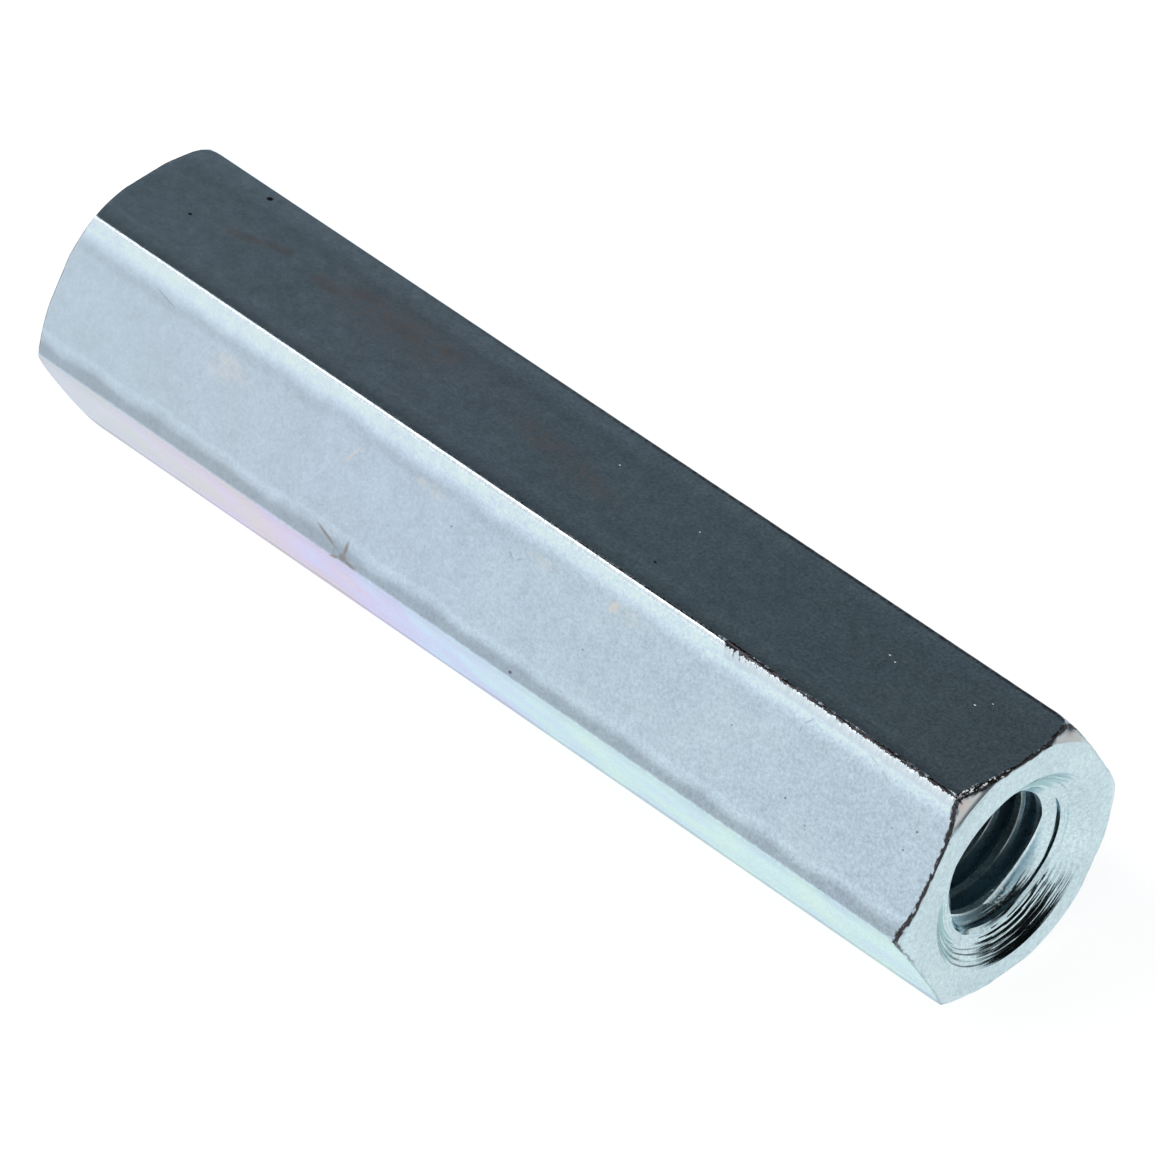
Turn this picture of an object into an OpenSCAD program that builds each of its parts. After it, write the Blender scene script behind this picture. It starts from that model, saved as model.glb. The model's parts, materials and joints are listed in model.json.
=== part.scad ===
// Female-female hex standoff: a length of drawn hexagon bar with both ends turned square,
// the corners chamfered, and a blind tapped hole with a countersunk mouth in each end.
// The bar lies on one flat along X, centred on the origin, with its lowest flat at Z = 0.

/* [Hex bar] */
// Width across the flats
across_flats = 8; // [7.5:0.5:13]
// Overall length between the two end faces
length = 35; // [28:1:70]
// Radius of the drawn bar's long edges
edge_radius = 0.12; // [0.05:0.01:0.3]

/* [Turned ends] */
// How far the turned chamfer reaches in from each corner
corner_cut = 0.54; // [0.3:0.02:0.8]
// Angle of the turned chamfer against the end face
chamfer_angle = 30; // [20:1:45]

/* [Tapped holes] */
// Diameter of the drilled bore, which is the diameter at the thread's crests
bore_d = 4.2; // [3.4:0.1:4.6]
// Depth of the full bore below the end face
bore_depth = 12; // [8:0.5:13]
// Angle of the drill's point
drill_point_angle = 118; // [90:1:140]
// Diameter of the countersink at the end face
countersink_d = 6.4; // [5.4:0.1:6.8]
// Included angle of the countersink
countersink_angle = 145; // [90:1:150]

/* [Hidden] */

$fn = 96;
overrun = 1;
flat_apothem = across_flats / 2;
corner_radius = flat_apothem / cos(30);
edge_center_radius = (flat_apothem - edge_radius) / cos(30);
chamfer_start_radius = corner_radius - corner_cut;
chamfer_slope = tan(chamfer_angle);
countersink_depth = (countersink_d - bore_d) / 2 / tan(countersink_angle / 2);
drill_point_height = bore_d / 2 / tan(drill_point_angle / 2);

// Drawn bar section: flats left and right of a vertical corner, each long edge rounded
module bar_section() {
    union() {
        polygon([
            for (corner = [0:5], side = [-1, 1])
                edge_center_radius * [cos(60 * corner), sin(60 * corner)]
                + edge_radius * [cos(60 * corner + 30 * side), sin(60 * corner + 30 * side)]
        ]);
        for (corner = [0:5])
            rotate(60 * corner)
                translate([edge_center_radius, 0])
                    circle(r = edge_radius);
    }
}

// Envelope that a lathe tool leaves: a cylinder wider than the bar, coned at both ends
module turned_envelope() {
    wide = corner_radius + overrun;
    cone_height = (wide - chamfer_start_radius) * chamfer_slope;
    rotate_extrude()
        polygon([
            [0, -length / 2],
            [chamfer_start_radius, -length / 2],
            [wide, -length / 2 + cone_height],
            [wide, length / 2 - cone_height],
            [chamfer_start_radius, length / 2],
            [0, length / 2]
        ]);
}

// Everything cut from one end: countersink, bore and drill point, with the mouth at Z = 0
module tapped_hole_cut() {
    mouth_slope = tan(countersink_angle / 2);
    rotate_extrude()
        polygon([
            [0, -bore_depth - drill_point_height],
            [bore_d / 2, -bore_depth],
            [bore_d / 2, -countersink_depth],
            [countersink_d / 2, 0],
            [countersink_d / 2 + overrun * mouth_slope, overrun],
            [0, overrun]
        ]);
}

module standoff() {
    color("lightsteelblue")
        translate([0, 0, flat_apothem])
            rotate([0, 90, 0])
                difference() {
                    intersection() {
                        translate([0, 0, -length / 2 - overrun])
                            linear_extrude(length + 2 * overrun)
                                rotate(30)
                                    bar_section();
                        turned_envelope();
                    }
                    for (end = [0, 1])
                        mirror([0, 0, end])
                            translate([0, 0, length / 2])
                                tapped_hole_cut();
                }
}

standoff();
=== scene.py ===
"""Hex standoff, dressed: a drawn, turned, tapped and zinc plated bar lying on a pale floor.

The file is laid out as an add-on. Its operators build the standoff, the burrs that the lathe
left on it, and the stage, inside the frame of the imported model.
"""

import json
import math

import bpy
from mathutils import Matrix, Vector


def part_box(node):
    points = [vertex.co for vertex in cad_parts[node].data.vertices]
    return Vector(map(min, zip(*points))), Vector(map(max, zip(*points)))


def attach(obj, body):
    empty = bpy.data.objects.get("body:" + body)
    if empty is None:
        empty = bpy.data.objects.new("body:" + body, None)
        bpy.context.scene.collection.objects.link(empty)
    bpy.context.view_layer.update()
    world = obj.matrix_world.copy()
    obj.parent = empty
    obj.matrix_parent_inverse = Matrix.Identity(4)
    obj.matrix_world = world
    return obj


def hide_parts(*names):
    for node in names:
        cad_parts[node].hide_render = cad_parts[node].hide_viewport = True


bl_info = {
    "name": "Hex standoff",
    "version": (1, 0, 0),
    "blender": (4, 5, 0),
    "location": "3D View > Sidebar > Standoff",
    "description": "Builds a zinc plated hex standoff with tapped ends, and its stage",
    "category": "Object",
}

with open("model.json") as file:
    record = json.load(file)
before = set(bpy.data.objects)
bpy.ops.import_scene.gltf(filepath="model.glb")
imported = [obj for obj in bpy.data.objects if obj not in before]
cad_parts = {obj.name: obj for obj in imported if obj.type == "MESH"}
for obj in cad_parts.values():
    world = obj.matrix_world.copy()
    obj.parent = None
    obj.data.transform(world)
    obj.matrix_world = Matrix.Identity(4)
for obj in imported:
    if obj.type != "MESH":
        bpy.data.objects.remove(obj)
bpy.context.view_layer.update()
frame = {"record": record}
CAD_LOW, CAD_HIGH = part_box("standoff")
MM = 0.001
ACROSS_FLATS = CAD_HIGH.z - CAD_LOW.z
LENGTH = CAD_HIGH.x - CAD_LOW.x
THREAD = next(m for m in frame["record"]["mounts"] if m["name"] == "thread_near")
BORE_RADIUS = THREAD["dims"]["r_mm"] * MM
AXIS_HEIGHT = THREAD["pos_m"][2]
HALF_WIDTH = ACROSS_FLATS / MM / 2
HALF_LENGTH = LENGTH / MM / 2

# The hexagon: from a flat's middle to its ridge is a twelfth of a turn
HALF_FLAT = math.pi / 6
TAN_30 = math.tan(HALF_FLAT)
COS_30 = math.cos(HALF_FLAT)
# Turns round the bar in degrees, from the back up over the top to the front
BACK_RIDGE, TOP_FLAT, LONG_RIDGE, SIDE_FLAT, UNDER_FLAT = 60, 90, 120, 150, 210

# Marks on the flats, in millimetres: (x along the bar, y up the flat, length, width, turn in degrees)
TOP_SMUDGES = [
    (-13.5, 0.2, 2.2, 0.5, 16), (-12.5, 0.55, 1.8, 0.5, 10), (-10.4, 0.4, 1.8, 0.6, 0),
    (-9.2, 0.9, 1.6, 0.6, 14), (-7.4, 0.6, 2.2, 0.7, 0), (-5.6, 0.9, 1.6, 0.6, 10)]
TOP_BLUSHES = [(-7.5, 0.6, 8.0, 2.4, 0), (-0.4, 0.0, 7.0, 1.4, -8)]
TOP_PITS = [
    (-14.23, 1.93, 0.30, 0.24, 20), (-15.34, -0.24, 0.18, 0.15, 0), (4.62, -1.33, 0.16, 0.10, 0)]
# Painted highlights: white glints on the upper flat
TOP_GLINTS = [
    (11.88, 0.64, 0.12, 0.06, 10), (12.18, 0.53, 0.10, 0.06, 0), (14.94, 0.85, 0.12, 0.07, 0),
    (15.26, 1.25, 0.09, 0.05, 0), (1.04, 0.92, 0.10, 0.05, 0), (4.61, 0.51, 0.09, 0.05, 0)]
SIDE_PITS = [
    (2.16, -2.11, 0.17, 0.14, 0), (16.48, 0.82, 0.11, 0.10, 0), (16.3, 0.15, 0.09, 0.08, 0),
    (15.69, 0.5, 0.07, 0.06, 0), (12.15, -0.55, 0.10, 0.09, 0), (9.6, 0.35, 0.08, 0.07, 0),
    (13.1, -0.9, 0.07, 0.07, 0), (4.1, -0.3, 0.08, 0.06, 20), (-1.6, 0.55, 0.08, 0.06, 0)]
SIDE_SCRATCHES = [
    (-13.78, 1.44, 1.25, 0.06, -14), (14.28, 1.88, 0.62, 0.06, -18), (14.82, 1.66, 0.60, 0.06, -26),
    (11.71, 1.40, 0.06, 0.40, 0), (11.85, 1.74, 0.45, 0.06, 50), (12.24, 2.0, 0.55, 0.06, 18),
    (0.63, 0.86, 0.45, 0.07, -28), (0.95, 0.88, 0.30, 0.07, 40)]
SIDE_RUBS = [
    (-5.67, 0.65, 0.95, 0.12, 66), (4.48, 1.28, 0.65, 0.30, 70)]
SIDE_BLUSHES = [
    (-2.8, 1.15, 1.6, 0.5, 0), (1.8, 1.22, 1.6, 0.45, 0), (-10.8, 0.66, 2.0, 1.1, 0),
    (5.0, 1.3, 1.8, 0.6, 0)]
SIDE_DENT = [
    (-5.43, -1.81, 1.30, 0.13, -20), (-4.60, -1.86, 0.18, 0.66, 4), (-4.28, -2.20, 0.75, 0.15, -5),
    (-4.60, -2.13, 0.44, 0.32, 0), (-4.92, -2.26, 0.50, 0.15, 20)]
# Dark cards of the studio: (direction from the standoff, share of the card's brightness, half angle
# of the solid part, half angle where its soft edge ends)
DARK_CARDS = [((-0.514, 0.543, 0.664), 1.0, 36, 56), ((0.94, 0.33, 0.07), 0.02, 32, 43)]
# Where the lamp hangs, seen from the standoff
KEY_DIRECTION = (-0.48, -0.33, 0.81)
# Where the countersink's middle lies off the bore's, seen with the bar standing on its far end
SINK_OFFSET = (0.17, 0.09)
# The side on which the lead into the bore is widest, seen the same way
LEAD_SIDE = (0.34, 0.94, 0.0)
# The side on which the countersink's steep outer wall is widest, seen the same way
STEEP_SIDE = (0.97, 0.26, 0.0)
# Where white specks are painted inside the near hole, in millimetres from the standoff's middle
WHITE_SPECKS_IN_HOLE = (16.62, 0.60, -2.05)
# The corner of the end faces where a pale painted highlight lies, rosy in its middle, in the same
# millimetres
HIGHLIT_CORNER = (17.36, 2.23, 3.86)
# From one dark tail of painted reflection along the tool's rings to the next, in millimetres
TAIL_PITCH = 0.13

# Colours of the marks and of the painted light, shade and reflections, as red, green and blue
# Painted highlight on one corner of the end faces: pale, and rosy in its middle
PALE_CORNER_HIGHLIGHT = (0.86, 0.89, 0.89)
ROSY_CORNER_HIGHLIGHT = (0.96, 0.83, 0.81)
# Painted shade in the thread's roots and painted highlight on its crests
THREAD_ROOT_PAINTED_SHADE = (0.27, 0.42, 0.50)
THREAD_CREST_PAINTED_HIGHLIGHT = (0.72, 0.84, 0.88)
# Painted reflection: blue-green streaks along the countersink's rings
TEAL_RING_REFLECTION = (0.26, 0.47, 0.49)
DARK_ARC = (0.13, 0.17, 0.20)
# Painted reflection: dark streaks along the countersink's rings
BLACK_TAIL_REFLECTION = (0.05, 0.08, 0.09)
WARM_BLUSH = (0.84, 0.78, 0.70)
RUBBED = (0.86, 0.77, 0.70)
SCRATCHED = (0.30, 0.29, 0.33)
DENTED = (0.30, 0.27, 0.25)
SPECK = (0.25, 0.29, 0.33)
SIDE_PIT = (0.10, 0.11, 0.15)
BLACK_PIT = (0.01, 0.01, 0.02)
DARK_RIM = (0.10, 0.06, 0.07)
# Painted highlight: the band on the side flat by the long ridge
HIGHLIGHT_BAND_WHITE = (0.86, 0.92, 0.94)
# White of the painted glints and sparkles, and of the specks in the hole
GLINT_WHITE = (0.95, 0.97, 0.98)
SMEAR_DARK = (0.67, 0.79, 0.85)
SMEAR_BRIGHT = (0.89, 0.95, 1.00)
SMEAR_EDGE = (0.66, 0.79, 0.88)


def length_setting(name, description, default):
    return bpy.props.FloatProperty(
        name=name, description=description, default=default, unit="LENGTH", precision=6)


def angle_setting(name, description, degrees):
    return bpy.props.FloatProperty(
        name=name, description=description, default=math.radians(degrees), subtype="ANGLE")


def factor_setting(name, description, default):
    return bpy.props.FloatProperty(
        name=name, description=description, default=default, min=0.0, max=1.0, subtype="FACTOR")


def colour_setting(name, description, default):
    return bpy.props.FloatVectorProperty(
        name=name, description=description, default=default, size=3, subtype="COLOR")


class BarSettings(bpy.types.PropertyGroup):
    """Sizes of the drawn hexagon bar and of its turned ends."""
    across_flats: length_setting(
        "Across Flats", "Width of the bar between two opposite flats", ACROSS_FLATS)
    length: length_setting("Length", "Length between the two end faces", LENGTH)
    edge_radius: length_setting("Edge Radius", "Radius of the bar's long edges", 0.12 * MM)
    corner_cut: length_setting(
        "Corner Cut", "How far the turned chamfer reaches in from each corner", 0.54 * MM)
    chamfer_angle: angle_setting(
        "Chamfer Angle", "Angle of the turned chamfer against the end face", 30)
    tear_width: length_setting("Tear Width", "How far from an edge its tears reach", 0.11 * MM)
    tear_depth: length_setting("Tear Depth", "Depth of the deepest tears in the edges", 0.075 * MM)
    tear_scale: bpy.props.FloatProperty(
        name="Tear Scale", description="Tears in each millimetre of edge", default=5.5)


class HoleSettings(bpy.types.PropertyGroup):
    """Sizes of the tapped hole in each end."""
    bore_radius: length_setting("Bore Radius", "Radius at the thread's crests", BORE_RADIUS)
    bore_depth: length_setting("Bore Depth", "Depth of the full bore below the end face", 12 * MM)
    drill_point_angle: angle_setting("Drill Point Angle", "Included angle of the drill's point", 118)
    countersink_radius: length_setting(
        "Countersink Radius", "Radius of the countersink at the end face", 3.2 * MM)
    countersink_angle: angle_setting("Countersink Angle", "Included angle of the countersink", 145)
    lead_radius: length_setting(
        "Lead Radius", "Radius where the countersink steepens into the bore", 2.34 * MM)
    chatter: length_setting("Chatter", "Height of the chatter rings in the countersink", 0.0062 * MM)
    chatter_pitch: length_setting(
        "Chatter Pitch", "Distance from one chatter ring to the next", 0.14 * MM)
    pitch: length_setting("Pitch", "Pitch of the right-handed thread", 0.8 * MM)
    thread_height: length_setting(
        "Thread Height", "Depth of the thread groove below its crests", 0.42 * MM)
    thread_length: length_setting("Thread Length", "Length of full thread below the end face", 10 * MM)
    thread_start: angle_setting("Thread Start", "Angle at which the thread starts", 165)


class BurrSettings(bpy.types.PropertyGroup):
    """Sizes of the smeared burr that runs along the long ridge."""
    across_flats: length_setting(
        "Across Flats", "Width of the bar between two opposite flats", ACROSS_FLATS)
    reach: length_setting("Reach", "How far the burr runs from the middle of the bar", 17.12 * MM)
    points: bpy.props.IntProperty(
        name="Points", description="Points along the burr", default=1100)
    nick: length_setting("Nick", "Where the nick lies, from the middle of the bar", 8.35 * MM)
    narrow_width: length_setting("Narrow Width", "Width of the burr before the nick", 0.19 * MM)
    wide_width: length_setting("Wide Width", "Width of the burr past the nick", 0.38 * MM)
    tooth_depth: length_setting(
        "Tooth Depth", "Depth of the teeth in the burr's upper edge", 0.16 * MM)
    lift: length_setting("Lift", "How far the burr stands off the flat", 0.012 * MM)


def arithmetic(operation):
    """A method of a quantity: one arithmetic node, fed with the quantity and what the method gets."""
    def method(self, *others):
        return self.bench.math(operation, self, *others)
    return method


class Quantity:
    """A value that a tree works out, held by its socket, so that formulas can be written with it."""

    def __init__(self, bench, socket):
        self.bench = bench
        self.socket = socket

    __add__ = __radd__ = arithmetic("ADD")
    __mul__ = __rmul__ = arithmetic("MULTIPLY")
    __sub__ = arithmetic("SUBTRACT")
    __truediv__ = arithmetic("DIVIDE")
    __pow__ = arithmetic("POWER")
    __gt__ = arithmetic("GREATER_THAN")
    __abs__ = arithmetic("ABSOLUTE")
    sine = arithmetic("SINE")
    cosine = arithmetic("COSINE")
    tangent = arithmetic("TANGENT")
    arctan2 = arithmetic("ARCTAN2")
    root = arithmetic("SQRT")
    sign = arithmetic("SIGN")
    floor = arithmetic("FLOOR")
    wrap = arithmetic("WRAP")
    at_most = arithmetic("MINIMUM")
    at_least = arithmetic("MAXIMUM")

    def __rsub__(self, other):
        return self.bench.math("SUBTRACT", other, self)

    def line(self, low, high, to_low, to_high, kind="LINEAR"):
        """A straight line from to_low at low to to_high at high, level beyond them."""
        inputs = {"Value": self, "From Min": low, "From Max": high, "To Min": to_low, "To Max": to_high}
        return self.bench.out("ShaderNodeMapRange", inputs, interpolation_type=kind)

    def ramp(self, low, high, to_low=0.0, to_high=1.0):
        """The same with smooth ends."""
        return self.line(low, high, to_low, to_high, "SMOOTHSTEP")

    def below(self, low, high):
        """1 below low, 0 above high, smooth between."""
        return self.ramp(low, high, 1.0, 0.0)


class NodeBench:
    """Places nodes in one tree and links them, so that a tree is written from its start to its end."""

    def __init__(self, tree):
        self.tree = tree

    def feed(self, socket, value):
        if isinstance(value, Quantity):
            self.tree.links.new(value.socket, socket)
        else:
            socket.default_value = value

    def node(self, kind, inputs=None, **settings):
        made = self.tree.nodes.new(kind)
        for name, value in settings.items():
            setattr(made, name, value)
        for key, value in (inputs or {}).items():
            values = value if isinstance(value, list) else [value]
            for one in values:
                self.feed(made.inputs[key], one)
        return made

    def out(self, kind, inputs=None, output=0, **settings):
        return Quantity(self, self.node(kind, inputs, **settings).outputs[output])

    def outputs(self, kind, inputs=None):
        """All outputs of a new node, by name."""
        return {socket.name: Quantity(self, socket) for socket in self.node(kind, inputs).outputs}

    def math(self, operation, *values):
        return self.out("ShaderNodeMath", dict(enumerate(values)), operation=operation)

    def vector(self, operation, *values):
        return self.out("ShaderNodeVectorMath", dict(enumerate(values)), operation=operation)

    def measure(self, operation, *values):
        """A number taken from vectors, such as a length, a distance or a dot product."""
        return self.out("ShaderNodeVectorMath", dict(enumerate(values)), "Value", operation=operation)

    def point(self, x=0.0, y=0.0, z=0.0):
        return self.out("ShaderNodeCombineXYZ", {"X": x, "Y": y, "Z": z})

    def split(self, vector):
        return self.outputs("ShaderNodeSeparateXYZ", {"Vector": vector}).values()

    def scaled(self, vector, *scale):
        return self.vector("MULTIPLY", vector, scale)

    def in_millimetres(self, vector):
        return self.scaled(vector, 1 / MM, 1 / MM, 1 / MM)

    def colour(self, red, green, blue):
        return self.out("ShaderNodeCombineColor", {"Red": red, "Green": green, "Blue": blue})

    def mix_colour(self, share, first, second, blend="MIX"):
        inputs = {"Factor": share, 6: first, 7: second}
        return self.out("ShaderNodeMix", inputs, 2, data_type="RGBA", blend_type=blend)

    def mix_number(self, share, first, second):
        return self.out("ShaderNodeMix", {"Factor": share, "A": first, "B": second}, data_type="FLOAT")

    def noise(self, place, scale, detail=2.0, roughness=0.5):
        inputs = {"Vector": place, "Scale": scale, "Detail": detail, "Roughness": roughness}
        return self.out("ShaderNodeTexNoise", inputs)


def largest(values):
    total = values[0]
    for value in values[1:]:
        total = total.at_least(value)
    return total


def cos_degrees(angle):
    return math.cos(math.radians(angle))


def near_turn(turn, degrees):
    """The cosine between a turn round the bar and this many degrees: 1 on it, less beside it."""
    return (turn - math.radians(degrees)).cosine()


def from_far_end(x, far, near, end=17.0):
    """A value at the far end of the bar, another at the near end, and a straight line between."""
    return x.line(-end, end, far, near)


def on_hexagon(upward, sideways):
    """A point's radius and turn about the bar's axis, and its place across and out of its own flat."""
    radius = (upward * upward + sideways * sideways).root()
    turn = upward.arctan2(sideways)
    fold = (turn - HALF_FLAT).wrap(HALF_FLAT, -HALF_FLAT)
    return radius, turn, radius * fold.sine(), radius * fold.cosine()


def chamfer(half, corner_cut, slope, radius):
    """The radius at which the end's chamfer starts, and how far it falls back from the end face."""
    turned = half / COS_30 - corner_cut
    return turned, (radius - turned).at_least(0.0) * slope


def setting_keys(settings):
    """The names of a group's own properties."""
    return [key for key in settings.bl_rna.properties.keys() if key not in ("rna_type", "name")]


def new_tree(name, groups):
    """An empty tree with a named input for each property of the groups.

    Returns the tree, its bench, its inputs by name, and each input's value by its identifier.
    """
    tree = bpy.data.node_groups.new(name, "GeometryNodeTree")
    values = {}
    for settings in groups:
        for key in setting_keys(settings):
            prop = settings.bl_rna.properties[key]
            kind = "NodeSocketInt" if prop.type == "INT" else "NodeSocketFloat"
            item = tree.interface.new_socket(prop.name, in_out="INPUT", socket_type=kind)
            item.default_value = getattr(settings, key)
            values[item.identifier] = getattr(settings, key)
    tree.interface.new_socket("Geometry", in_out="OUTPUT", socket_type="NodeSocketGeometry")
    bench = NodeBench(tree)
    return tree, bench, bench.outputs("NodeGroupInput"), values


def moved(bench, geometry, **how):
    """The geometry after a translation, a rotation or both."""
    inputs = {name.capitalize(): value for name, value in how.items()}
    return bench.out("GeometryNodeTransform", {"Geometry": geometry, **inputs})


def placed(bench, geometry, position):
    return bench.out("GeometryNodeSetPosition", {"Geometry": geometry, "Position": position})


def frustum(bench, low, low_radius, high, high_radius, sides):
    """A closed cone or cylinder about Z between two heights."""
    cone = bench.out("GeometryNodeMeshCone", {
        "Vertices": sides, "Radius Bottom": low_radius, "Radius Top": high_radius,
        "Depth": high - low})
    return moved(bench, cone, translation=bench.point(z=low))


def drawn_bar(bench, size, columns=40, flat_rows=100, chamfer_rows=4, face_rows=20, middle_rows=2):
    """The rounded hexagon bar with both ends faced and chamfered, as one closed grid about Z.

    Rows run from the middle of one end face, over its chamfer, along the flats and back to the
    middle of the other face. Columns run round the bar, closer together by the ridges.
    """
    rows = flat_rows + chamfer_rows + face_rows + middle_rows
    grid = bench.out("GeometryNodeMeshGrid", {
        "Size X": 2.0, "Size Y": 6.0, "Vertices X": 2 * rows + 1, "Vertices Y": 6 * columns + 1})
    lengthwise, crosswise, _ = bench.split(bench.out("GeometryNodeInputPosition"))
    run = abs(lengthwise)
    round_bar = crosswise + 3.0
    flat_number = round_bar.floor().at_most(5.0)
    local = (round_bar - flat_number) * 2.0 + -1.0

    # The section: along a flat to where the ridge's radius starts, then round a sixth of its circle
    half = size["Across Flats"] * 0.5
    ridge = half * TAN_30
    along = ridge * (abs(local) * (math.pi / 2)).sine()
    round_height = half - size["Edge Radius"]
    round_start = round_height * TAN_30
    bend = along.line(round_start, ridge, 0.0, HALF_FLAT)
    across = (size["Edge Radius"] * bend.sine() + along.at_most(round_start)) * local.sign()
    outward = size["Edge Radius"] * bend.cosine() + round_height
    radius = (across * across + outward * outward).root()

    # The ends: where the chamfer's cone leaves the flat, and where it meets the end face
    turned, setback = chamfer(half, size["Corner Cut"], size["Chamfer Angle"].tangent(), radius)
    flat_end = size["Length"] * 0.5 - setback
    steps = [0]
    for stretch in (flat_rows, chamfer_rows, face_rows, middle_rows):
        steps.append(steps[-1] + stretch)
    down_flat, over_chamfer, over_face, to_middle = [
        run.line(first / rows, last / rows, 0.0, 1.0) for first, last in zip(steps, steps[1:])]
    down_flat = down_flat * 1.6 - down_flat * down_flat * 0.6
    height = over_chamfer * setback + flat_end * down_flat
    reach = over_chamfer * (radius.at_most(turned) - radius) + radius
    reach = over_face * (size["Bore Radius"] * 0.9 - radius.at_most(turned)) + reach
    scale = reach * (1.0 - to_middle) / radius

    turn = flat_number * (2 * HALF_FLAT) + HALF_FLAT
    sideways = outward * turn.cosine() - across * turn.sine()
    upward = outward * turn.sine() + across * turn.cosine()
    shaped = placed(bench, grid, bench.point(
        x=upward * scale * -1.0, y=sideways * scale, z=height * lengthwise.sign()))
    closed = bench.out("GeometryNodeMergeByDistance", {"Geometry": shaped, "Distance": 0.0004 * MM})
    return bench.out("GeometryNodeFlipFaces", {"Mesh": closed})


def worn_edges(bench, size, bar, worn_reach=0.55 * MM):
    """Breaks the ridges and the edges of the end faces unevenly, always inwards."""
    here = bench.out("GeometryNodeInputPosition")
    downward, sideways, along = bench.split(here)
    upward = downward * -1.0
    radius, turn, across, outward = on_hexagon(upward, sideways)
    half = size["Across Flats"] * 0.5
    _, setback = chamfer(half, size["Corner Cut"], size["Chamfer Angle"].tangent(), radius)
    to_end = size["Length"] * 0.5 - setback - abs(along)
    to_edge = to_end.at_least(half - outward)
    to_ridge = half * TAN_30 - abs(across)
    torn = bench.noise(bench.in_millimetres(here), size["Tear Scale"], 3.0, 0.7).ramp(0.35, 0.72)
    end_edge = to_edge.line(0.0, size["Tear Width"], 1.0, 0.0)
    ridge_edge = to_ridge.line(0.0, size["Tear Width"], 1.0, 0.0)

    # The ridge under the burr is torn deepest, most of all just past the burr's nick
    long_ridge = near_turn(turn, LONG_RIDGE).ramp(cos_degrees(15), cos_degrees(5))
    nicked = along.ramp(8.0 * MM, 8.25 * MM)
    notch = nicked * along.below(8.35 * MM, 8.8 * MM)
    ridge_share = 0.22 + long_ridge * (nicked * 0.5 + notch * 1.7)
    upper = near_turn(turn, LONG_RIDGE + 10).ramp(0.1, 0.6, 0.18, 1.0)
    seen = upper * along.ramp(-12 * MM, 8 * MM, 0.06, 1.0)
    depth = end_edge.at_least(ridge_edge * ridge_share) * seen * size["Tear Depth"] * (torn * 0.9 + 0.1)

    # The corners of the back ridge are worn round
    by_corner = to_ridge.line(0.0, worn_reach, 1.0, 0.0) * to_edge.line(0.0, worn_reach, 1.0, 0.0)
    back_ridge = near_turn(turn, BACK_RIDGE).ramp(cos_degrees(25), cos_degrees(12), 0.25, 1.0)
    rounding = from_far_end(along, 0.08 * MM, 0.07 * MM, 17 * MM)
    depth = depth + by_corner * by_corner * back_ridge * rounding
    inwards = bench.point(
        x=upward / radius, y=sideways / radius * -1.0, z=along.sign() * (end_edge * -0.7))
    move = bench.out("ShaderNodeVectorMath", {"Vector": inwards, "Scale": depth}, operation="SCALE")
    return bench.out("GeometryNodeSetPosition", {"Geometry": bar, "Offset": move})


def tapped_hole(bench, size, sides=144):
    """Everything that is cut from the upper end: bore, drill point, countersink and thread."""
    face = size["Length"] * 0.5
    radius = size["Bore Radius"]
    floor = face - size["Bore Depth"]
    tip = floor - radius / (size["Drill Point Angle"] * 0.5).tangent()
    drill = frustum(bench, floor, radius, face + 0.5 * MM, radius, sides)
    point = frustum(bench, tip, 0.0, floor + 0.001 * MM, radius, sides)
    return [drill, point, countersink(bench, size, face), thread_groove(bench, size, face)]


def countersink(bench, size, face, sides=176, rings=54, steep_least=0.46 * MM, steep_more=0.32 * MM):
    """A shallow bowl whose tool ran a little off centre and chattered, so it has rings."""
    wide = size["Countersink Radius"]
    deep = (wide - size["Bore Radius"]) / (size["Countersink Angle"] * 0.5).tangent()
    cone = bench.out("GeometryNodeMeshCone", {
        "Vertices": sides, "Side Segments": rings, "Radius Bottom": size["Bore Radius"] * 0.86,
        "Radius Top": wide + 0.1 * MM, "Depth": 1.0})
    x, y, _ = bench.split(bench.out("GeometryNodeInputPosition"))
    reach = (x * x + y * y).root()
    about = bench.vector("NORMALIZE", bench.point(x=x, y=y))

    # The wall: shallow in the middle, steeper past the knee, and steepest where it leads into the bore
    steep_run = bench.measure("DOT_PRODUCT", about, STEEP_SIDE).at_least(0.0) * steep_more
    knee = wide - (steep_run + steep_least)
    drop = wide - reach.at_least(knee).at_most(wide)
    eased = drop * (-0.32 / MM) + 1.2
    steep = deep * (-0.92 / steep_least) * (drop * eased)
    shallow = deep * ((reach - knee).at_most(0.0) * 0.12 / (knee - size["Bore Radius"]))
    lead_radius = bench.measure("DOT_PRODUCT", about, LEAD_SIDE) * (0.11 * MM) + size["Lead Radius"]
    lead = (reach - lead_radius).at_most(0.0) * 1.1
    rise = (reach - wide).at_least(0.0) * 0.9

    # The chatter rings wander as they go round, and are strongest at the foot of the steep wall
    wander = bench.noise(bench.scaled(about, 1.2, 1.2, 0.0), 1.0)
    patch = bench.vector("ADD", bench.scaled(about, 1.1, 1.1, 0.0), bench.point(z=reach / (0.24 * MM)))
    strength = bench.noise(patch, 1.0).ramp(0.35, 0.65, 0.7, 1.6)
    wave = (reach / size["Chatter Pitch"] * math.tau + wander * 14.0).sine()
    wave = wave * strength * drop.line(0.05 * MM, 0.45 * MM, 0.45, 1.0)
    wave = wave * reach.below(wide, wide + 0.06 * MM)
    height = steep + (shallow + lead) + (wave * size["Chatter"] + rise)
    bowl = placed(bench, cone, bench.point(x=x, y=y, z=height + face))
    return moved(bench, bowl, translation=(SINK_OFFSET[0] * MM, SINK_OFFSET[1] * MM, 0))


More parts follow.
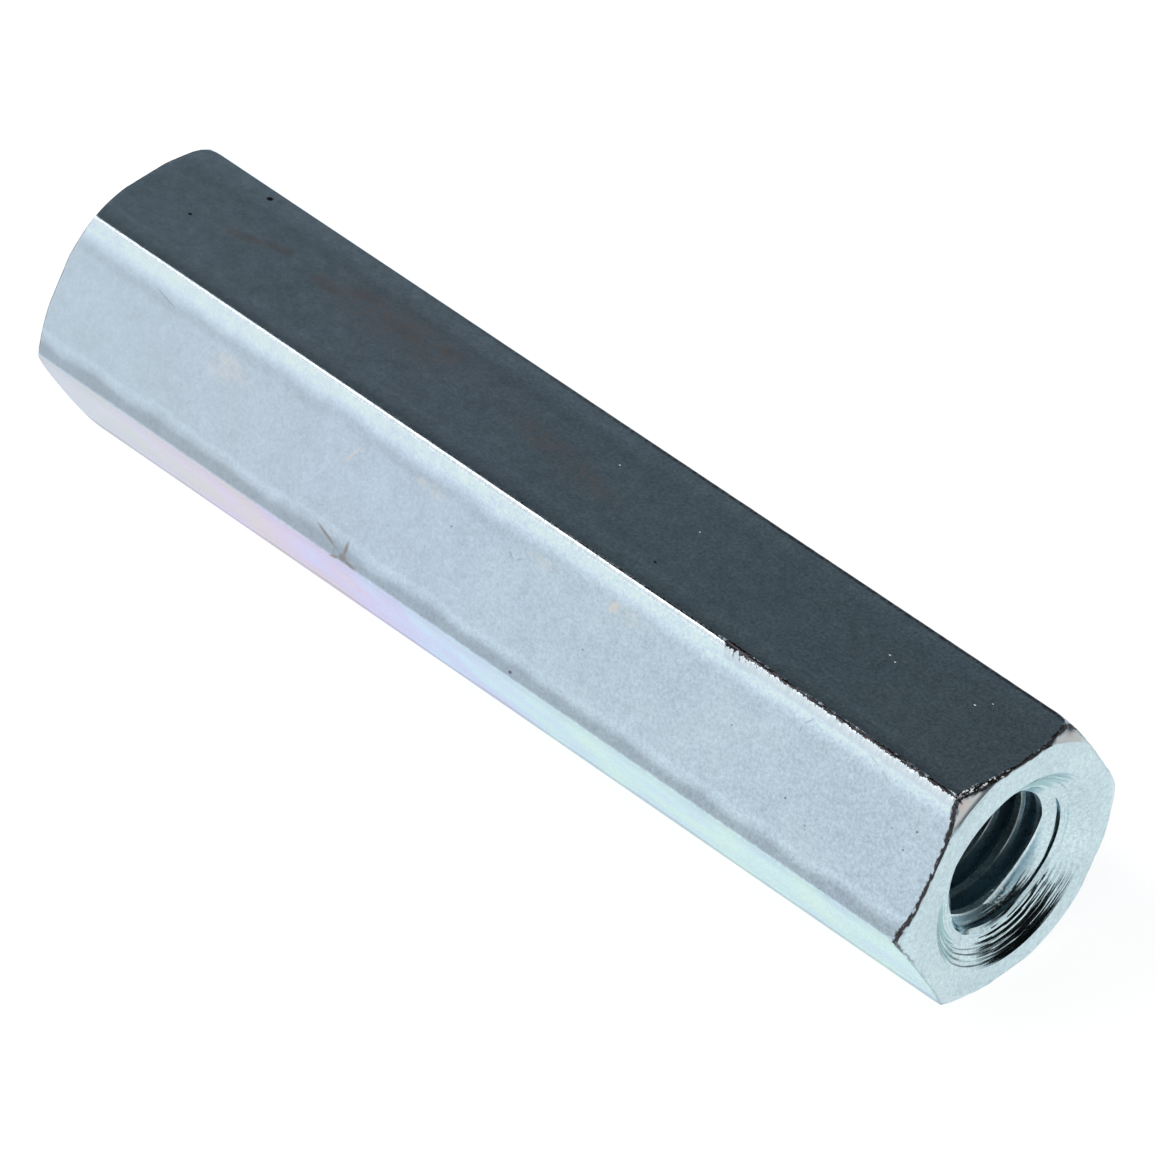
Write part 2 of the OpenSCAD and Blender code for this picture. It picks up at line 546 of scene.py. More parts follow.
def thread_groove(bench, size, face, turn_points=72, inside=0.12 * MM):
    """A 60 degree groove swept along a right-handed helix, from the deepest turn to past the mouth."""
    height = size["Thread Length"] + size["Pitch"] * 0.75
    helix = bench.out("GeometryNodeCurveSpiral", {
        "Resolution": turn_points, "Rotations": height / size["Pitch"], "Height": height,
        "Start Radius": size["Bore Radius"], "End Radius": size["Bore Radius"], "Reverse": True})
    helix = moved(bench, helix, translation=bench.point(z=face - size["Thread Length"]),
                  rotation=bench.point(z=size["Thread Start"]))
    helix = bench.out("GeometryNodeSetCurveNormal", {"Curve": helix}, mode="Z_UP")
    root_half = size["Pitch"] * (1 / 16)
    mouth_half = (size["Thread Height"] + inside) * TAN_30 + root_half
    corners = [(-inside, mouth_half, -1), (size["Thread Height"], root_half, -1),
               (size["Thread Height"], root_half, 1), (-inside, mouth_half, 1)]
    profile = bench.out("GeometryNodeCurvePrimitiveQuadrilateral", {
        f"Point {number}": bench.point(x=depth, y=half * side)
        for number, (depth, half, side) in enumerate(corners, 1)}, mode="POINTS")
    return bench.out("GeometryNodeCurveToMesh", {
        "Curve": helix, "Profile Curve": profile, "Fill Caps": True})


def finish_tree(bench, geometry, material, smooth_angle):
    """Shades by angle, then ends the tree as every tree here ends."""
    sharp = bench.out("GeometryNodeInputMeshEdgeAngle") > smooth_angle
    smooth = bench.out("GeometryNodeSetShadeSmooth", {
        "Geometry": geometry, "Selection": sharp, "Shade Smooth": False}, domain="EDGE")
    real = bench.out("GeometryNodeRealizeInstances", {"Geometry": smooth})
    done = bench.out("GeometryNodeSetMaterial", {"Geometry": real, "Material": material})
    bench.node("NodeGroupOutput", {"Geometry": done})


def standoff_tree(groups, material):
    """The whole standoff: drawn, turned, drilled, countersunk and tapped from both ends."""
    tree, bench, size, values = new_tree("standoff", groups)
    bar = worn_edges(bench, size, drawn_bar(bench, size))
    near = tapped_hole(bench, size)
    far = [moved(bench, cutter, rotation=(math.pi, 0, 0)) for cutter in near]
    body = bench.out("GeometryNodeMeshBoolean", {
        "Mesh 1": bar, "Mesh 2": near + far}, operation="DIFFERENCE", solver="MANIFOLD")
    # The bar was built along Z: it is laid along X, on its lowest flat
    laid = moved(bench, body, translation=(0, 0, AXIS_HEIGHT), rotation=(0, math.pi / 2, 0))
    finish_tree(bench, laid, material, math.radians(28))
    return tree, values


def ridge_burr_tree(groups, material):
    """The smeared burr along the long ridge: a thin strip on the side flat, wider past the nick."""
    tree, bench, size, values = new_tree("ridge_burr", groups)
    line = bench.out("GeometryNodeCurvePrimitiveLine", {
        "Start": bench.point(x=size["Reach"] * -1.0), "End": bench.point(x=size["Reach"])})
    line = bench.out("GeometryNodeResampleCurve", {"Curve": line, "Count": size["Points"]})
    ring = bench.out("GeometryNodeCurvePrimitiveCircle", {
        "Resolution": 12, "Radius": 1.0}, mode="RADIUS")
    strip = bench.out("GeometryNodeCurveToMesh", {
        "Curve": line, "Profile Curve": ring, "Fill Caps": True})
    x, across, side = bench.split(bench.out("GeometryNodeInputPosition"))
    share = across.line(-1.0, 1.0, 0.0, 1.0)
    along = x / MM

    # The strip's two edges, measured down the side flat from the ridge
    wide_part = x.ramp(size["Nick"] - 0.05 * MM, size["Nick"] + 0.15 * MM)
    teeth = bench.noise(bench.point(x=share * -1.2 + along * 4.5), 1.0, 4.0, 0.8).ramp(0.42, 0.62)
    feather = bench.noise(bench.point(x=share * 1.6 + along * 3.2, y=4.0), 1.0, 3.0, 0.7)
    fading = x.ramp(-15 * MM, 2 * MM, 0.42, 1.0)
    torn_part = wide_part * x.ramp(size["Nick"], size["Nick"] + 1.8 * MM, 1.8, 0.0)
    width = size["Narrow Width"] + wide_part * (size["Wide Width"] - size["Narrow Width"])
    width = width * (torn_part * 0.14 + 1.0)
    low_edge = width * fading * feather.ramp(0.3, 0.7, 0.85, 1.15)
    tooth_depth = size["Tooth Depth"] * fading * (torn_part + (wide_part * 0.45 + 0.25))
    high_edge = teeth * tooth_depth + 0.004 * MM
    down = high_edge + share * (low_edge - high_edge).at_least(0.02 * MM)

    # Its crown stands off the flat, and its feet go a little into it
    crown = share ** 1.6 * (1.0 - share)
    lift = crown * (size["Lift"] * feather.ramp(0.3, 0.7, 2.0, 3.6)) + size["Lift"] * -0.25
    lift = lift + side * (0.016 * MM)
    half = size["Across Flats"] * 0.5
    sideways = half * TAN_30 + (down * 0.5 + lift * COS_30)
    upward = (half - down * COS_30 + lift * 0.5).at_most(half - 0.002 * MM)
    shaped = placed(bench, strip, bench.point(x=x, y=sideways * -1.0, z=upward + AXIS_HEIGHT))
    shaped = bench.out("GeometryNodeFlipFaces", {"Mesh": shaped})
    finish_tree(bench, shaped, material, math.radians(40))
    return tree, values


def bake_tree(name, tree, values):
    """Runs a tree on a bare object, keeps its result as a plain mesh, and returns the piece."""
    carrier = bpy.data.objects.new(name + "_carrier", bpy.data.meshes.new(name + "_carrier"))
    bpy.context.scene.collection.objects.link(carrier)
    modifier = carrier.modifiers.new("build", "NODES")
    modifier.node_group = tree
    for identifier, value in values.items():
        modifier[identifier] = value
    graph = bpy.context.evaluated_depsgraph_get()
    mesh = bpy.data.meshes.new_from_object(carrier.evaluated_get(graph))
    carrier.modifiers.remove(modifier)
    bpy.data.objects.remove(carrier)
    mesh.name = name
    if not mesh.polygons:
        raise RuntimeError(f"the tree for {name} made no faces")
    piece = bpy.data.objects.new(name, mesh)
    bpy.context.scene.collection.objects.link(piece)
    return piece


class FinishSettings(bpy.types.PropertyGroup):
    """Colours and roughness of the zinc plating, and of what marks it."""
    zinc: colour_setting("Zinc", "Colour of the plated flats", (0.578, 0.692, 0.792))
    faced: colour_setting(
        "Faced Zinc", "Colour of the plated end faces and holes", (0.555, 0.690, 0.742))
    # Also the colour of the painted shadow line along the long ridge
    oxide_and_shadow: colour_setting(
        "Oxide", "Colour of the dark line that the lathe tool left round each end",
        (0.032, 0.024, 0.024))
    stain: colour_setting("Stain", "Colour of the brown smudges", (0.57, 0.43, 0.40))
    roughness: factor_setting("Roughness", "Roughness of the plated flats", 0.30)
    turned_roughness: factor_setting(
        "Turned Roughness", "Roughness of the turned countersink and of the holes", 0.12)
    iridescence: factor_setting(
        "Iridescence", "Strength of the pink and green tints of the passivated zinc", 0.012)


class StageSettings(bpy.types.PropertyGroup):
    """The camera's place, the floor and the studio light."""
    azimuth: angle_setting(
        "Azimuth", "Camera's turn round the standoff, from straight in front", 42.748)
    elevation: angle_setting("Elevation", "Camera's height as an angle above the floor", 41.823)
    roll: angle_setting("Roll", "Camera's turn about its own line of sight", 2.492)
    distance: length_setting(
        "Distance", "Distance from the camera to the middle of the standoff", 335.27 * MM)
    offset: bpy.props.FloatVectorProperty(
        name="Offset", description="How far the camera stands to the right of that line and above it",
        default=(0.305 * MM, -0.306 * MM), size=2, subtype="TRANSLATION")
    lens: bpy.props.FloatProperty(
        name="Lens", description="Focal length on a 36 mm wide sensor, in millimetres",
        default=363.67)
    floor_width: length_setting("Floor Width", "Width of the square floor", 0.09)
    room_light: bpy.props.FloatProperty(
        name="Room Light", description="Brightness of the white studio as metal reflects it",
        default=0.82, min=0.0)
    dark_card: bpy.props.FloatProperty(
        name="Dark Card", description="Brightness of the dark card that the upper flat reflects",
        default=0.115, min=0.0)
    key_watts: bpy.props.FloatProperty(
        name="Key Power", description="Power of the soft lamp above the long ridge, in watts",
        default=1.0, min=0.0)


def empty_bench(owner):
    """The bench for a material or a world, whose first nodes are taken away."""
    owner.use_nodes = True
    owner.node_tree.nodes.clear()
    return NodeBench(owner.node_tree)


def layered(bench, colour, coats):
    """Lays coats over a colour one by one: each is where it lies, and its own colour."""
    for share, coat in coats:
        colour = bench.mix_colour(share, colour, (*coat, 1))
    return colour


class Surface:
    """Where a shaded point lies on the bar, in millimetres from the middle of its axis."""

    def __init__(self, bench):
        self.bench = bench
        raw = bench.in_millimetres(bench.out("ShaderNodeTexCoord", output="Object"))
        self.point = bench.vector("SUBTRACT", raw, (0, 0, AXIS_HEIGHT / MM))
        self.x, self.y, self.z = bench.split(self.point)
        self.radius, self.turn, self.across, self.outward = on_hexagon(self.z, self.y)
        self.to_ridge = HALF_WIDTH * TAN_30 - abs(self.across)
        self.on_flat = bench.point(x=self.x, y=self.across * -1.0)

    def facing(self, degrees):
        """1 on the flat that looks out at this angle round the bar."""
        outward = (0, cos_degrees(degrees), math.sin(math.radians(degrees)))
        depth = self.bench.measure("DOT_PRODUCT", self.point, outward)
        return depth.ramp(HALF_WIDTH - 0.05, HALF_WIDTH - 0.02)

    def spots(self, marks):
        """Soft-edged ellipses on a flat, from one of the lists of marks."""
        found = []
        for x, up, length, width, degrees in marks:
            near = self.bench.out("ShaderNodeMapping", {
                "Vector": self.on_flat, "Location": (x, up, 0), "Rotation": (0, 0, math.radians(degrees)),
                "Scale": (length / 2, width / 2, 1)}, vector_type="TEXTURE")
            found.append(self.bench.measure("LENGTH", near).below(0.35, 1.0))
        return largest(found)


class PlatedSurface(Surface):
    """The same on the plated bar, with masks of its parts, distances to its edges, and noises."""

    def __init__(self, bench, bar, hole):
        super().__init__(bench)
        x, point, turn = self.x, self.point, self.turn
        slope = math.tan(bar.chamfer_angle)
        _, setback = chamfer(HALF_WIDTH, bar.corner_cut / MM, slope, self.radius)
        self.to_end = HALF_LENGTH - setback - abs(x)
        self.to_outline = HALF_WIDTH - self.outward
        outer = self.outward.ramp(HALF_WIDTH - 0.6, HALF_WIDTH - 0.3)
        self.flats = outer * self.to_end.ramp(0.0, 0.015)
        self.top = self.facing(TOP_FLAT)
        self.top_flat = self.top * self.flats
        self.side = self.facing(SIDE_FLAT) * self.flats
        self.under = self.facing(UNDER_FLAT) * self.flats
        self.low_side = self.across.ramp(-0.4, 0.4)
        self.high_side = 1.0 - self.low_side

        # What the lathe cut: the countersink and the hole, and the bevel round each end
        rim = hole.countersink_radius / MM
        sink_middle = bench.point(x=x, y=x.sign() * SINK_OFFSET[1], z=-SINK_OFFSET[0])
        self.sink_radius = bench.measure("DISTANCE", point, sink_middle)
        self.turned = self.sink_radius.below(rim, rim + 0.04)
        self.sink = self.turned * abs(x).ramp(HALF_LENGTH - 1.0, HALF_LENGTH - 0.8)
        self.deep_hole = self.turned * (1.0 - self.sink)
        self.bevel = self.to_end.below(0.0, 0.01) * self.radius.ramp(4.06, 4.12)

        self.cloud = bench.noise(point, 0.7, 0.0)
        self.mottle = bench.noise(point, 2.6, 3.0, 0.8)
        self.grain = bench.noise(point, 9.0, 2.0, 0.85)
        self.jag = bench.noise(bench.scaled(point, 8.0, 3.0, 3.0), 1.0, 2.0, 0.7)
        ringed = bench.point(x=self.radius * 10.0, y=turn.cosine() * 1.3, z=turn.sine() * 1.3)
        self.rings = bench.noise(ringed, 1.0, 2.0, 0.6)

        # The ragged dark line round each end, widest on the part of the upper flat that sparkles
        self.near = x.ramp(-14.0, 6.0)
        self.sparkling = self.top * self.y.below(-1.4, 0.4)
        width = self.jag.line(0.3, 0.75, 0.05, 0.17) * (self.near * 0.7 + 0.3)
        width = self.sparkling * self.near * 0.1 + width
        on_side = (self.to_end / width).line(0.7, 1.0, 1.0, 0.0)
        on_face = self.to_outline.line(0.015, 0.04, 1.0, 0.0)
        self.end_line = bench.mix_number(self.flats, on_face, on_side) * outer


def plated_tone_and_painted_bands(on):
    """The zinc's own mottling and grain, times bands of painted highlight and painted shade by the
    ridges, where the rolled edges catch or lose the light, and a darkening of the upper flat towards the
    near end and of the under flat towards the far end.
    """
    mottled = (on.mottle - 0.5) * (on.flats * 0.11 + 0.14)
    grained = on.grain.line(0.3, 0.7, -0.11, 0.11) * from_far_end(on.x, 0.4, 1.6)
    tone = mottled + on.cloud.line(0.3, 0.7, 0.98, 1.03) + grained * (on.top * 0.9 + 1.0)
    waver = (on.cloud - 0.5) * 0.35 + on.to_ridge
    by_upper_ridge = on.high_side * on.flats
    by_lower_ridge = on.low_side * on.flats
    mild = on.under * -1.25 + (on.top * -0.65 + 1.0)
    painted_shade_band = waver.below(0.3, 0.56) * on.to_ridge.ramp(0.03, 0.12) * by_lower_ridge
    painted_valley_shade = abs(waver - 0.98).below(0.04, 0.24) * by_upper_ridge * on.x.below(-4.0, 6.0)
    # Painted highlight: a lighter band by each flat's upper ridge and a light lip by its lower one.
    # Painted shade: a darker band by the lower ridge, a dark strip on the upper flat by the long ridge,
    # and a soft darker dip by the upper ridge on the far half. The last two only make the upper flat
    # darker towards the near end and the under flat darker towards the far end.
    bands = [
        waver.below(0.35, 0.9) * by_upper_ridge * mild * 0.39,
        painted_shade_band * (1.0 - on.top) * -0.26,
        on.to_ridge.below(0.12, 0.5) * on.low_side * on.top * -0.27,
        abs(waver - 0.7).below(0.03, 0.16) * by_lower_ridge * 0.08,
        painted_valley_shade * -0.07,
        on.top * from_far_end(on.x, -0.04, -0.38),
        on.under * on.x.line(-17.0, 6.0, -0.16, -0.04)]
    for band in bands:
        tone = tone * (band + 1.0)
    return tone


def film_tint(on, iridescence):
    """Pink and green tints of the passivated coat, by the thickness of a film."""
    film = on.x.line(-10.0, 4.0, -0.22, 0.34) + (on.cloud * 0.35 + on.mottle * 0.12)
    stronger = on.under * on.x.line(-6.0, 2.0, 13 * iridescence, 9 * iridescence)
    depth = (stronger + iridescence) * on.x.ramp(-17.0, -9.0, 0.3, 1.0)
    tints = [(film * math.tau + step * math.tau / 3).cosine() * depth + 1.0 for step in range(3)]
    return on.bench.colour(*tints)


def rings_and_painted_reflections(on):
    """Rings that the tool left, coloured as painted reflections in the countersink, blue-green on two
    sides and dark on a third; and a dark arc by one corner of the face.
    """
    sides = near_turn(on.turn, 72).ramp(0.78, 0.95).at_least(near_turn(on.turn, -160).ramp(0.86, 0.97))
    teal = sides * on.sink * on.sink_radius.ramp(2.45, 2.6) * on.sink_radius.below(3.05, 3.18)
    teal = teal * on.rings.ramp(0.38, 0.55)
    off_corner = abs(on.turn - math.radians(119))
    arc = abs(on.radius - 4.06).below(0.06, 0.14) * on.x.ramp(0.0, 1.0) * on.to_end.below(0.0, 0.01)
    arc = arc * off_corner.below(math.radians(7), math.radians(14)) * on.rings.ramp(0.36, 0.56)
    stripe = (on.sink_radius * (math.tau / TAIL_PITCH) + on.rings * 5.0).sine()
    tails = near_turn(on.turn, -112).ramp(0.78, 0.96) * on.sink * on.sink_radius.ramp(2.6, 2.75)
    tails = tails * on.sink_radius.below(3.1, 3.17) * stripe.ramp(0.1, 0.85)
    tails = tails * on.rings.ramp(0.36, 0.58, 0.35, 1.0)
    return [(teal * 0.85, TEAL_RING_REFLECTION), (arc * 0.8, DARK_ARC), (tails * 0.9, BLACK_TAIL_REFLECTION)]


def flat_marks(on, stain):
    """Marks on the two flats that show most."""
    blush = on.top_flat * on.spots(TOP_BLUSHES) * on.mottle.ramp(0.35, 0.7)
    smudge = on.top_flat * on.spots(TOP_SMUDGES) * on.grain.ramp(0.38, 0.56)
    warm = on.side * on.spots(SIDE_BLUSHES) * on.mottle.ramp(0.35, 0.65)
    return [
        (blush * 0.58, stain),
        (smudge * 0.6, stain),
        (warm * 0.38, WARM_BLUSH),
        (on.side * on.spots(SIDE_RUBS) * 0.55, RUBBED),
        (on.side * on.spots(SIDE_SCRATCHES) * 0.45, SCRATCHED),
        (on.side * on.spots(SIDE_DENT) * 0.75, DENTED),
        (on.flats * on.grain.ramp(0.8, 0.84) * 0.35, SPECK),
        (on.side * on.spots(SIDE_PITS) * 0.85, SIDE_PIT),
        (on.top_flat * on.spots(TOP_PITS) * 0.97, BLACK_PIT)]


def edge_marks(on, oxide_and_shadow):
    """The dark line round each end, a painted shadow line along the long ridge beside the burr, a dark
    rim by the upper flat's other ridge, and a painted highlight band where the side flat meets the burr.
    """
    to_long_ridge = on.bench.measure("DOT_PRODUCT", on.point, (0, -0.5, COS_30)).ramp(4.3, 4.38)
    past_nick = on.x.ramp(8.2, 8.4)
    at_nick = past_nick * on.x.below(8.5, 9.8)
    seam = past_nick * 0.03 + (on.low_side * 0.025 + 0.015)
    seam = at_nick * 0.06 + (seam + on.jag.line(0.36, 0.75, -0.02, 0.05))
    # Painted shadow: a ragged dark line along the long ridge, for the shadow of the groove between the
    # burr and the upper flat
    painted_shadow_line = (on.to_ridge - seam).line(0.0, 0.02, 1.0, 0.0) * to_long_ridge * on.flats
    painted_shadow_line = painted_shadow_line * on.low_side.at_least(past_nick) * (on.near * 0.6 + 0.4)
    upper = near_turn(on.turn, LONG_RIDGE).ramp(0.2, 0.55, 0.28, 1.0)
    rim = on.top_flat * on.high_side * on.near * on.to_ridge.below(0.09, 0.18)
    rim = rim * on.jag.ramp(0.35, 0.6, 0.35, 1.0)
    # Painted highlight: a lighter band on the side flat by the long ridge, widening the ridge's own
    # highlight
    painted_highlight_band = on.to_ridge.below(0.08, 0.22) * on.high_side * on.side * (1.0 - painted_shadow_line)
    return [
        (on.end_line * upper * (on.near * 0.35 + 0.6), oxide_and_shadow),
        (painted_shadow_line * 0.95, oxide_and_shadow),
        (rim * 0.8, DARK_RIM),
        (painted_highlight_band * 0.5, HIGHLIGHT_BAND_WHITE)]


def painted_glints_and_specks(on):
    """Painted highlights: glints on the upper flat and sparkles in the line round the end; and white
    specks painted inside the near hole.
    """
    low = on.sparkling * -0.06 + 0.58
    # Painted highlights: white sparkles in the dark line round the end
    painted_sparkles = on.end_line * (on.jag * 0.5 + on.grain * 0.5).ramp(low, low + 0.03)
    painted_sparkles = painted_sparkles * on.near * (on.sparkling * 0.7 + 0.3)
    to_hole_specks = on.bench.measure("DISTANCE", on.point, WHITE_SPECKS_IN_HOLE)
    hole_specks = on.deep_hole * on.grain.ramp(0.57, 0.6) * to_hole_specks.below(0.25, 0.6)
    return largest([on.top_flat * on.spots(TOP_GLINTS), painted_sparkles, hole_specks])


def relief(on):
    """Height of the fine relief above the plain surface, in millimetres."""
    edge = on.to_end.at_least(on.to_outline).line(0.0, 0.2, 0.03, 0.0)
    grained = on.grain * (on.flats * from_far_end(on.x, 0.003, 0.01) + edge)
    ring_height = on.bench.mix_number(on.bevel.at_least(on.turned), 0.004, 0.012)
    return grained + on.rings * ring_height * (1.0 - on.flats)


def finish_material(bench, height, **inputs):
    """Ends a metal's tree: its bump from a height in millimetres, its shader and its output."""
    bump = bench.out("ShaderNodeBump", {"Strength": 1.0, "Distance": MM, "Height": height})
    names = {name.replace("_", " ").title(): value for name, value in inputs.items()}
    shader = bench.out("ShaderNodeBsdfPrincipled", {"Normal": bump, **names})
    bench.node("ShaderNodeOutputMaterial", {"Surface": shader})


def zinc_material(finish, bar, hole):
    """Zinc plate over drawn flats, turned faces and tapped holes, with its stains, nicks and pits, and
    with painted highlights, painted shade and painted reflections.
    """
    material = bpy.data.materials.new("zinc_plate")
    bench = empty_bench(material)
    on = PlatedSurface(bench, bar, hole)
    bore = hole.bore_radius / MM
    mirrored = bench.point(x=on.x, y=abs(on.y), z=on.z)
    to_corner = bench.measure("DISTANCE", mirrored, HIGHLIT_CORNER)
    # Painted highlight on one corner of the end faces, pale and rosy in its middle
    pale = on.bevel * to_corner.below(0.5, 1.1)
    rosy = on.bevel * to_corner.below(0.14, 0.34)
    bright = painted_glints_and_specks(on)

    colour = bench.mix_colour(1.0 - on.flats, (*finish.zinc, 1), (*finish.faced, 1))
    # Painted shade and painted highlight in the hole: dark roots, light crests
    crests = on.radius.below(bore + 0.01, bore + 0.07)
    thread = bench.mix_colour(crests, (*THREAD_ROOT_PAINTED_SHADE, 1), (*THREAD_CREST_PAINTED_HIGHLIGHT, 1))
    colour = bench.mix_colour(on.deep_hole, colour, thread)
    colour = bench.mix_colour(1.0, colour, film_tint(on, finish.iridescence), "MULTIPLY")
    # Mottling and grain, with painted highlight and painted shade bands by the ridges
    tone = plated_tone_and_painted_bands(on)
    colour = bench.mix_colour(1.0, colour, bench.colour(tone, tone, tone), "MULTIPLY")
    colour = layered(bench, colour, [
        (pale, PALE_CORNER_HIGHLIGHT), (rosy, ROSY_CORNER_HIGHLIGHT), *rings_and_painted_reflections(on), *flat_marks(on, finish.stain),
        *edge_marks(on, finish.oxide_and_shadow), (bright, GLINT_WHITE)])

    rough = bench.mix_number(on.turned, finish.roughness, finish.turned_roughness)
    rough = on.deep_hole * 0.16 + rough + on.mottle.line(0.3, 0.7, -0.03, 0.05)
    rough = rosy * 0.4 + (on.end_line * 0.08 + rough)
    # Not metallic where the glints, sparkles, hole specks and the corner highlight are painted
    metallic = 1.0 - bright.at_least(pale)
    finish_material(bench, relief(on), base_color=colour, roughness=rough, metallic=metallic)
    return material


def burnished_material():
    """Zinc smeared bright along the ridge, streaked across it."""
    material = bpy.data.materials.new("burnished_zinc")
    bench = empty_bench(material)
    on = Surface(bench)
    streak = bench.noise(bench.scaled(on.point, 16.0, 2.0, 2.0), 1.0, 3.0, 0.7)
    smeared = bench.mix_colour(streak.ramp(0.4, 0.6), (*SMEAR_DARK, 1), (*SMEAR_BRIGHT, 1))
    faded = (streak - 0.5) * 0.25 + on.to_ridge
    colour = bench.mix_colour(faded.ramp(0.16, 0.38), smeared, (*SMEAR_EDGE, 1))
    rough = streak.line(0.3, 0.7, 0.42, 0.3)
    finish_material(bench, streak * 0.008, base_color=colour, roughness=rough, metallic=1.0)
    return material


def ray_masks(bench):
    """1 for a camera or transmission ray, and 1 for a glossy ray."""
    path = bench.outputs("ShaderNodeLightPath")
    return path["Is Camera Ray"].at_least(path["Is Transmission Ray"]), path["Is Glossy Ray"]


def light_room(stage):
    """The studio round the standoff: white, with two dark cards that only the metal shows."""
    world = bpy.data.worlds.new("studio")
    bpy.context.scene.world = world
    bench = empty_bench(world)
    towards = bench.out("ShaderNodeTexCoord", output="Generated")
    light = stage.room_light
    for direction, level, inner, outer in DARK_CARDS:
        cosine = bench.measure("DOT_PRODUCT", towards, Vector(direction).normalized()[:])
        card = cosine.ramp(cos_degrees(outer), cos_degrees(inner))
        light = bench.mix_number(card, light, level * stage.dark_card)
    red = light * light.line(0.1, 0.8, 0.83, 0.985)
    blue = light * light.line(0.1, 0.8, 1.08, 1.01)
    seen, _ = ray_masks(bench)
    colour = bench.mix_colour(seen, bench.colour(red, light, blue), (1, 1, 1, 1))
    background = bench.out("ShaderNodeBackground", {"Color": colour, "Strength": 1.0})
    bench.node("ShaderNodeOutputWorld", {"Surface": background})


def floor_material():
    """White paper: mostly its own white, so that only a faint shadow stays under the standoff."""
    material = bpy.data.materials.new("white_paper")
    bench = empty_bench(material)
    paper = bench.out("ShaderNodeBsdfDiffuse", {"Color": (0.30, 0.30, 0.30, 1), "Roughness": 0.0})
    seen, glossy = ray_masks(bench)
    strength = seen.at_least(glossy) * 0.28 + (seen * 0.015 + 0.55)
    glow = bench.out("ShaderNodeEmission", {"Color": (1, 1, 1, 1), "Strength": strength})
    both = bench.out("ShaderNodeAddShader", {0: paper, 1: glow})
    bench.node("ShaderNodeOutputMaterial", {"Surface": both})
    return material


def lay_floor(stage):
    """The flat white sheet that the standoff lies on."""
    half = stage.floor_width / 2
    under = -0.01 * MM
    mesh = bpy.data.meshes.new("floor")
    mesh.from_pydata([(-half, -half, under), (half, -half, under), (half, half, under),
                      (-half, half, under)], [], [(0, 1, 2, 3)])
    mesh.materials.append(floor_material())
    floor = bpy.data.objects.new("floor", mesh)
    bpy.context.scene.collection.objects.link(floor)


def aim_camera(stage, sensor_width=36):
    """The camera at the photograph's place, aimed by its angles round the middle of the standoff."""
    azimuth, elevation, roll = stage.azimuth, stage.elevation, stage.roll
    back = Vector((math.sin(azimuth) * math.cos(elevation),
                   -math.cos(azimuth) * math.cos(elevation), math.sin(elevation)))
    level = Vector((math.cos(azimuth), math.sin(azimuth), 0))
    rise = back.cross(level)
    right = level * math.cos(roll) + rise * math.sin(roll)
    up = rise * math.cos(roll) - level * math.sin(roll)
    middle = Vector((0, 0, AXIS_HEIGHT))
    spot = middle + right * stage.offset[0] + up * stage.offset[1] + back * stage.distance
    data = bpy.data.cameras.new("camera")
    data.lens = stage.lens
    data.sensor_width = sensor_width
    data.clip_start = 0.01
    data.clip_end = 10
    camera = bpy.data.objects.new("camera", data)
    camera.matrix_world = Matrix.Translation(spot) @ Matrix((right, up, back)).transposed().to_4x4()
    bpy.context.scene.collection.objects.link(camera)
    bpy.context.scene.camera = camera


def hang_lamp(name, direction, distance, width, watts):
    """A soft square lamp that faces the middle of the standoff."""
    data = bpy.data.lights.new(name, "AREA")
    data.size = width
    data.energy = watts
    lamp = bpy.data.objects.new(name, data)
    towards = Vector(direction).normalized()
    lamp.matrix_world = Matrix.Translation(Vector((0, 0, AXIS_HEIGHT)) + towards * distance) @ \
        towards.to_track_quat("Z", "Y").to_matrix().to_4x4()
    bpy.context.scene.collection.objects.link(lamp)


class StandoffOperator:
    """What the operators below share."""
    bl_options = {"REGISTER", "UNDO"}


class STANDOFF_OT_body(StandoffOperator, bpy.types.Operator):
    """Builds the drawn, turned and tapped standoff in zinc plate"""
    bl_idname = "standoff.body"
    bl_label = "Standoff"

    def execute(self, context):
        scene = context.scene
        bar, hole = scene.standoff_bar, scene.standoff_hole
        tree, values = standoff_tree([bar, hole], zinc_material(scene.standoff_finish, bar, hole))
        piece = bake_tree("standoff_body", tree, values)
        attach(piece, "root")
        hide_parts("standoff")
        return {"FINISHED"}


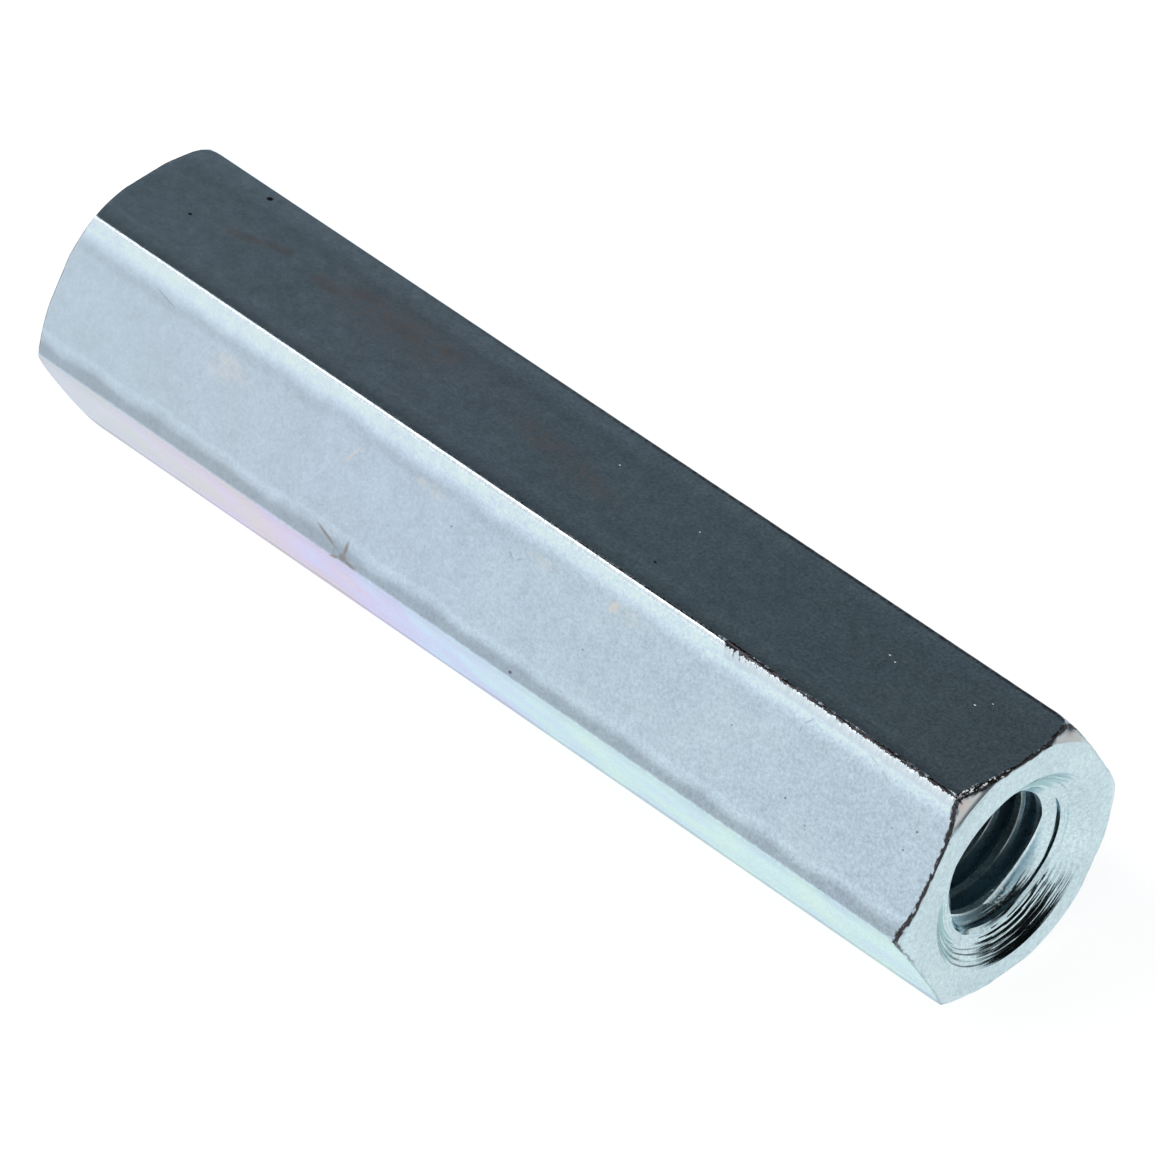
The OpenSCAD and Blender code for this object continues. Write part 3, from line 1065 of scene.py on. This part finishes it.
class STANDOFF_OT_burr(StandoffOperator, bpy.types.Operator):
    """Lays the smeared burr along the long ridge"""
    bl_idname = "standoff.burr"
    bl_label = "Ridge Burr"

    def execute(self, context):
        tree, values = ridge_burr_tree([context.scene.standoff_burr], burnished_material())
        piece = bake_tree("ridge_burr", tree, values)
        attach(piece, "root")
        return {"FINISHED"}


class STANDOFF_OT_stage(StandoffOperator, bpy.types.Operator):
    """Lays the white floor, lights the studio and aims the camera"""
    bl_idname = "standoff.stage"
    bl_label = "Stage"

    def execute(self, context):
        stage = context.scene.standoff_stage
        context.scene.view_settings.view_transform = "Standard"
        light_room(stage)
        lay_floor(stage)
        aim_camera(stage)
        hang_lamp("key", KEY_DIRECTION, distance=0.6, width=0.3, watts=stage.key_watts)
        return {"FINISHED"}


class STANDOFF_PT_panel(bpy.types.Panel):
    """Lists the standoff's sizes, finish and stage, and the operators that build them"""
    bl_idname = "STANDOFF_PT_panel"
    bl_label = "Hex Standoff"
    bl_space_type = "VIEW_3D"
    bl_region_type = "UI"
    bl_category = "Standoff"

    def draw(self, context):
        for operator, groups in PANEL_ROWS:
            box = self.layout.box()
            for group in groups:
                settings = getattr(context.scene, group)
                for key in setting_keys(settings):
                    box.prop(settings, key)
            box.operator(operator)


SETTINGS = {
    "standoff_bar": BarSettings, "standoff_hole": HoleSettings, "standoff_burr": BurrSettings,
    "standoff_finish": FinishSettings, "standoff_stage": StageSettings}
PANEL_ROWS = [
    ("standoff.body", ["standoff_bar", "standoff_hole", "standoff_finish"]),
    ("standoff.burr", ["standoff_burr"]), ("standoff.stage", ["standoff_stage"])]
OPERATORS = [STANDOFF_OT_body, STANDOFF_OT_burr, STANDOFF_OT_stage]


def register():
    for cls in (*SETTINGS.values(), *OPERATORS, STANDOFF_PT_panel):
        bpy.utils.register_class(cls)
    for name, cls in SETTINGS.items():
        setattr(bpy.types.Scene, name, bpy.props.PointerProperty(type=cls))


def unregister():
    for name in SETTINGS:
        delattr(bpy.types.Scene, name)
    for cls in (STANDOFF_PT_panel, *OPERATORS, *SETTINGS.values()):
        bpy.utils.unregister_class(cls)


def main():
    register()
    bpy.ops.standoff.body()
    bpy.ops.standoff.burr()
    bpy.ops.standoff.stage()


if __name__ == "__main__":
    main()
